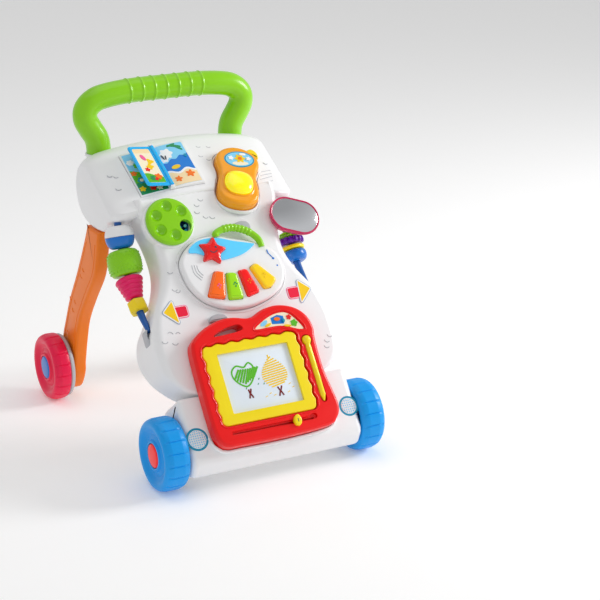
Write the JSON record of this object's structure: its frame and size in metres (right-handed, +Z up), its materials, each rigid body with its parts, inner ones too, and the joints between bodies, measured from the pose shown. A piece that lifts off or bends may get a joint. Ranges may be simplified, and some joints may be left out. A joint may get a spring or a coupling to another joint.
{
  "type": "baby walker",
  "caption": "Push-along baby walker on four wheels with a sloping activity panel, lift-off drawing board, music panel, toy phone and bead rods.",
  "frame": {"origin": "centre of the overall box at floor level", "axes": "+Z up, -Y towards the toy side, +Y towards the child who pushes, +X to the right when facing the toy side"},
  "size_m": [0.3512, 0.5002, 0.498],
  "materials": {
    "abs_white": "gloss",
    "lime_plastic": "gloss",
    "orange_plastic": "gloss",
    "amber_plastic": "gloss",
    "sky_plastic": "gloss",
    "pink_plastic": "gloss",
    "blue_plastic": "gloss",
    "grey_plastic": "satin",
    "red_plastic": "gloss",
    "yellow_plastic": "gloss",
    "purple_plastic": "gloss",
    "crimson_plastic": "gloss",
    "mirror_foil": "polished",
    "screen_sheet": "satin",
    "circuit_board": "satin",
    "axle_steel": "brushed"
  },
  "bodies": {
    "chassis": {"main_panel": "abs_white", "panel_back": "abs_white", "base_beam": "abs_white", "console_shell": "abs_white", "console_under": "abs_white", "rear_leg_left": "orange_plastic", "rear_leg_right": "orange_plastic", "handle": "lime_plastic", "rod_left": "blue_plastic", "rod_right": "blue_plastic", "front_axle": "axle_steel", "rear_axle_left": "axle_steel", "rear_axle_right": "axle_steel", "dial_cup": "blue_plastic", "phone_cradle": "abs_white", "book_tray": "abs_white"},
    "front_wheel_left": {"front_tyre_left": "sky_plastic", "front_hub_left": "red_plastic"},
    "front_wheel_right": {"front_tyre_right": "sky_plastic", "front_hub_right": "red_plastic"},
    "rear_wheel_left": {"rear_tyre_left": "pink_plastic", "rear_hub_left": "blue_plastic", "rear_ring_left": "grey_plastic"},
    "rear_wheel_right": {"rear_tyre_right": "pink_plastic", "rear_hub_right": "blue_plastic", "rear_ring_right": "grey_plastic"},
    "rattle_dial": {"dial": "lime_plastic"},
    "music_panel": {"music_case": "abs_white", "music_back": "abs_white", "battery_door": "abs_white", "circuit_board": "circuit_board", "speaker": "grey_plastic", "wave_window": "sky_plastic", "music_handle": "lime_plastic"},
    "star": {"star_button": "red_plastic"},
    "orange_key": {"key_orange": "amber_plastic"},
    "green_key": {"key_green": "lime_plastic"},
    "red_key": {"key_red": "red_plastic"},
    "yellow_key": {"key_yellow": "yellow_plastic"},
    "upper_latch": {"latch_upper": "grey_plastic"},
    "lower_latch": {"latch_lower": "grey_plastic"},
    "drawing_board": {"board_case": "red_plastic", "board_back": "red_plastic", "board_frame": "yellow_plastic", "board_screen": "screen_sheet"},
    "magnet_pen": {"pen": "yellow_plastic"},
    "eraser": {"eraser_slider": "yellow_plastic"},
    "phone": {"phone_case": "amber_plastic", "phone_back": "abs_white"},
    "phone_key": {"phone_button": "yellow_plastic"},
    "flip_page": {"book_page": "sky_plastic"},
    "ball_bead": {"bead_ball": "sky_plastic"},
    "barrel_bead": {"bead_barrel": "lime_plastic"},
    "cone_bead": {"bead_cone": "pink_plastic"},
    "hex_bead": {"bead_hex": "yellow_plastic"},
    "mirror_toy": {"mirror_frame": "crimson_plastic", "mirror_glass": "mirror_foil"},
    "gear_toy": {"toy_gear": "purple_plastic"},
    "yellow_ring": {"toy_ring_yellow": "yellow_plastic"},
    "blue_ring": {"toy_ring_blue": "blue_plastic"}
  },
  "joints": [
    {"name": "front_wheel_left_spin", "type": "hinge", "parent": "chassis", "child": "front_wheel_left", "pos_m": [-0.1503, -0.1855, 0.0506], "axis": [1, 0, 0], "continuous": true},
    {"name": "front_wheel_right_spin", "type": "hinge", "parent": "chassis", "child": "front_wheel_right", "pos_m": [0.1503, -0.1855, 0.0506], "axis": [1, 0, 0], "continuous": true},
    {"name": "rear_wheel_left_spin", "type": "hinge", "parent": "chassis", "child": "rear_wheel_left", "pos_m": [-0.1591, 0.1995, 0.0506], "axis": [1, 0, 0], "continuous": true},
    {"name": "rear_wheel_right_spin", "type": "hinge", "parent": "chassis", "child": "rear_wheel_right", "pos_m": [0.1591, 0.1995, 0.0506], "axis": [1, 0, 0], "continuous": true},
    {"name": "dial_spin", "type": "hinge", "parent": "chassis", "child": "rattle_dial", "pos_m": [-0.069, -0.04021, 0.32812], "axis": [0, -0.8039, 0.5948], "continuous": true},
    {"name": "music_panel_lift", "type": "slide", "parent": "chassis", "child": "music_panel", "axis": [0, -0.8039, 0.5948], "range_m": [0, 0.12]},
    {"name": "star_press", "type": "slide", "parent": "music_panel", "child": "star", "axis": [0, 0.8039, -0.5948], "range_m": [0, 0.0025], "stiffness_N_per_m": 300},
    {"name": "orange_key_press", "type": "slide", "parent": "music_panel", "child": "orange_key", "axis": [0, 0.8039, -0.5948], "range_m": [0, 0.0025], "stiffness_N_per_m": 300},
    {"name": "green_key_press", "type": "slide", "parent": "music_panel", "child": "green_key", "axis": [0, 0.8039, -0.5948], "range_m": [0, 0.0025], "stiffness_N_per_m": 300},
    {"name": "red_key_press", "type": "slide", "parent": "music_panel", "child": "red_key", "axis": [0, 0.8039, -0.5948], "range_m": [0, 0.0025], "stiffness_N_per_m": 300},
    {"name": "yellow_key_press", "type": "slide", "parent": "music_panel", "child": "yellow_key", "axis": [0, 0.8039, -0.5948], "range_m": [0, 0.0025], "stiffness_N_per_m": 300},
    {"name": "upper_latch_slide", "type": "slide", "parent": "chassis", "child": "upper_latch", "axis": [0, 0.5948, 0.8039], "range_m": [0, 0.003], "stiffness_N_per_m": 150},
    {"name": "lower_latch_slide", "type": "slide", "parent": "chassis", "child": "lower_latch", "axis": [0, 0.5948, 0.8039], "range_m": [0, 0.004], "stiffness_N_per_m": 150},
    {"name": "drawing_board_lift", "type": "slide", "parent": "chassis", "child": "drawing_board", "axis": [0, -0.8039, 0.5948], "range_m": [0, 0.15]},
    {"name": "pen_lift", "type": "slide", "parent": "drawing_board", "child": "magnet_pen", "axis": [0, -0.8039, 0.5948], "range_m": [0, 0.1]},
    {"name": "eraser_slide", "type": "slide", "parent": "drawing_board", "child": "eraser", "axis": [1, 0, 0], "range_m": [-0.094, 0.024]},
    {"name": "phone_lift", "type": "slide", "parent": "chassis", "child": "phone", "axis": [0, -0.5878, 0.809], "range_m": [0, 0.12]},
    {"name": "phone_button_press", "type": "slide", "parent": "phone", "child": "phone_key", "axis": [0, 0.5878, -0.809], "range_m": [0, 0.0025], "stiffness_N_per_m": 300},
    {"name": "page_turn", "type": "hinge", "parent": "chassis", "child": "flip_page", "pos_m": [-0.04843, 0.03041, 0.3886], "axis": [-0.0262, 0.8523, 0.5223], "range_deg": [-20, 150]},
    {"name": "ball_bead_spin", "type": "hinge", "parent": "chassis", "child": "ball_bead", "pos_m": [-0.13, -0.004, 0.30443], "axis": [0, 0.3197, 0.9475], "continuous": true},
    {"name": "barrel_bead_spin", "type": "hinge", "parent": "chassis", "child": "barrel_bead", "pos_m": [-0.13, -0.01943, 0.26982], "axis": [0, 0.4947, 0.8691], "continuous": true},
    {"name": "cone_bead_spin", "type": "hinge", "parent": "chassis", "child": "cone_bead", "pos_m": [-0.13, -0.0412, 0.23928], "axis": [0, 0.6605, 0.7508], "continuous": true},
    {"name": "hex_bead_spin", "type": "hinge", "parent": "chassis", "child": "hex_bead", "pos_m": [-0.13, -0.06188, 0.21913], "axis": [0, 0.7661, 0.6427], "continuous": true},
    {"name": "gear_spin", "type": "hinge", "parent": "chassis", "child": "gear_toy", "pos_m": [0.13, -0.02198, 0.26549], "axis": [0, 0.518, 0.8554], "continuous": true},
    {"name": "yellow_ring_spin", "type": "hinge", "parent": "chassis", "child": "yellow_ring", "pos_m": [0.13, -0.02797, 0.25623], "axis": [0, 0.5682, 0.8229], "continuous": true},
    {"name": "blue_ring_spin", "type": "hinge", "parent": "chassis", "child": "blue_ring", "pos_m": [0.13, -0.03542, 0.2462], "axis": [0, 0.623, 0.7823], "continuous": true},
    {"name": "mirror_swing", "type": "hinge", "parent": "chassis", "child": "mirror_toy", "pos_m": [0.13, -0.01014, 0.28845], "axis": [0, 0.3977, 0.9175], "range_deg": [0, 100]}
  ]
}
